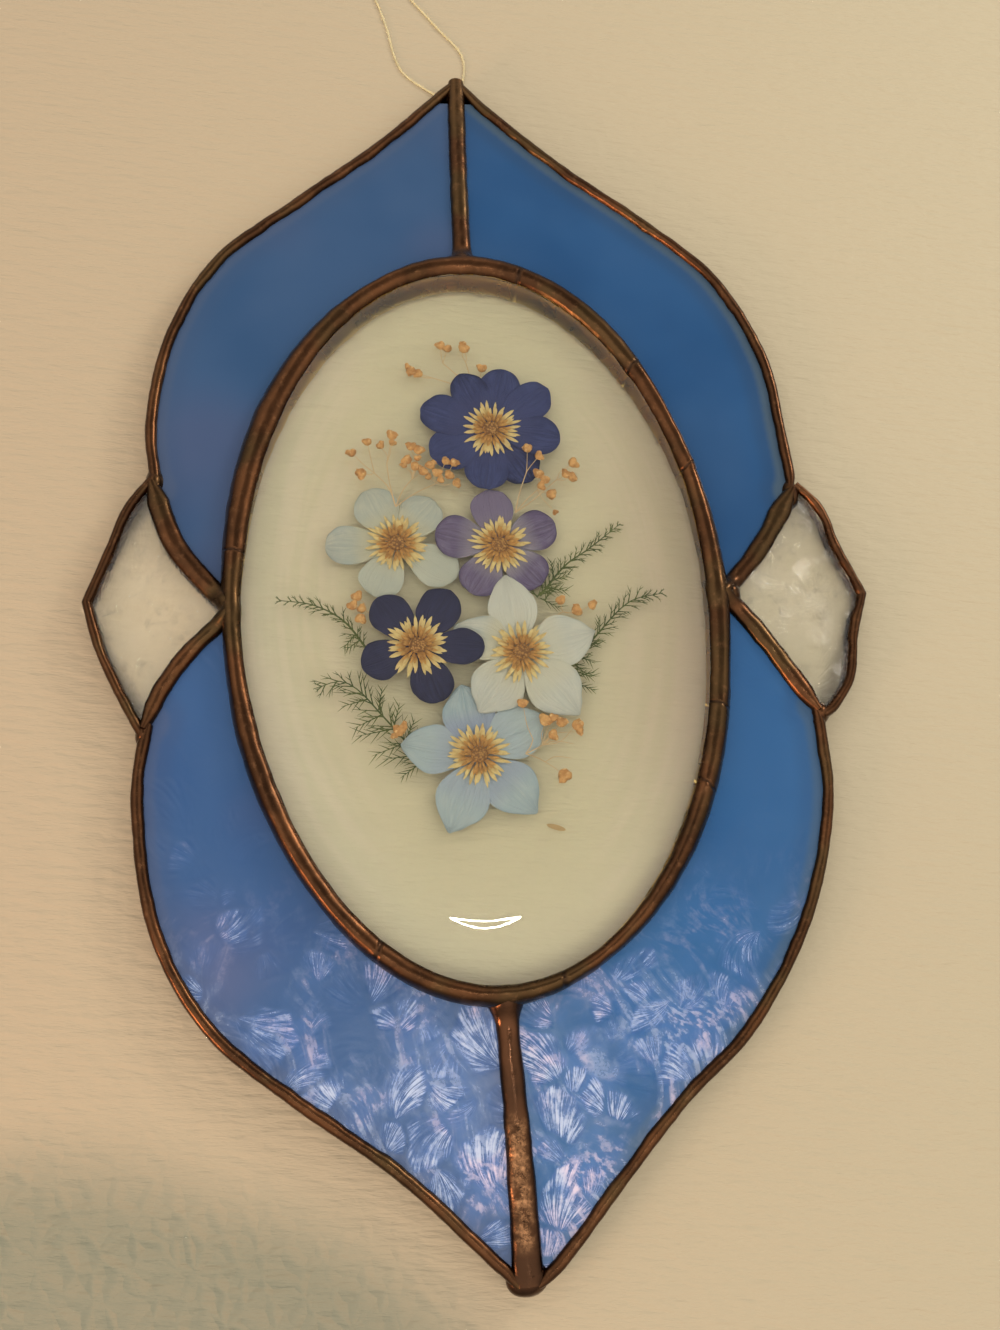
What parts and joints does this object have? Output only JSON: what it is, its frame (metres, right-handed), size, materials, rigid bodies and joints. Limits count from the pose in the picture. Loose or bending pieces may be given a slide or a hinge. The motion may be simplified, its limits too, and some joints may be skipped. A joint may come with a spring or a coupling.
{
  "type": "pressed flower suncatcher",
  "caption": "Leaf-shaped suncatcher: pressed blossoms sealed in a clear domed oval, set in blue and clear glass with dark soldered seams.",
  "frame": {"origin": "middle of the outline on the surface it lies on, behind its back", "axes": "+Z out of the front, +Y to the hanging tip, +X to the viewer's right"},
  "size_m": [0.1368, 0.2778, 0.0083],
  "materials": {
    "solder": "dark copper patina on solder, polished on the crests",
    "blue_glass": "textured cathedral glass",
    "clear_glass": "textured clear glass",
    "clear_oval": "polished clear resin",
    "dark_blue_petal": "dry petal",
    "purple_petal": "dry petal",
    "white_petal": "dry petal",
    "navy_petal": "dry petal",
    "pale_blue_petal": "dry petal",
    "florets": "dry",
    "fern": "dry",
    "bud": "dry",
    "bract": "dry",
    "line": "clear yellow monofilament"
  },
  "bodies": {
    "root": {"oval_rim": "solder", "top_seam": "solder", "bottom_seam": "solder", "lozenge_seam_upper_left": "solder", "lozenge_seam_lower_left": "solder", "lozenge_seam_upper_right": "solder", "lozenge_seam_lower_right": "solder", "edge_upper_left": "solder", "edge_upper_right": "solder", "edge_lower_left": "solder", "edge_lower_right": "solder", "edge_side_left": "solder", "edge_side_right": "solder", "hanging_loop": "solder", "blue_glass_upper_left": "blue_glass", "blue_glass_upper_right": "blue_glass", "blue_glass_lower_left": "blue_glass", "blue_glass_lower_right": "blue_glass", "clear_lozenge_left": "clear_glass", "clear_lozenge_right": "clear_glass", "clear_oval_back": "clear_oval", "clear_oval_front": "clear_oval", "dark_blue_petals": "dark_blue_petal", "purple_petals": "purple_petal", "white_left_petals": "white_petal", "navy_petals": "navy_petal", "white_right_petals": "white_petal", "pale_blue_petals": "pale_blue_petal", "dark_blue_centre": "florets", "purple_centre": "florets", "white_left_centre": "florets", "navy_centre": "florets", "white_right_centre": "florets", "pale_blue_centre": "florets", "fern_left_upper": "fern", "fern_left_lower": "fern", "fern_right_upper": "fern", "fern_right_lower": "fern", "bud_spray_top": "bud", "bud_spray_left": "bud", "bud_spray_right": "bud", "bud_spray_middle": "bud", "bud_spray_right_middle": "bud", "bud_spray_lower_right": "bud", "bud_lower_left": "bud", "loose_bract": "bract", "hanging_line": "line"}
  },
  "joints": []
}
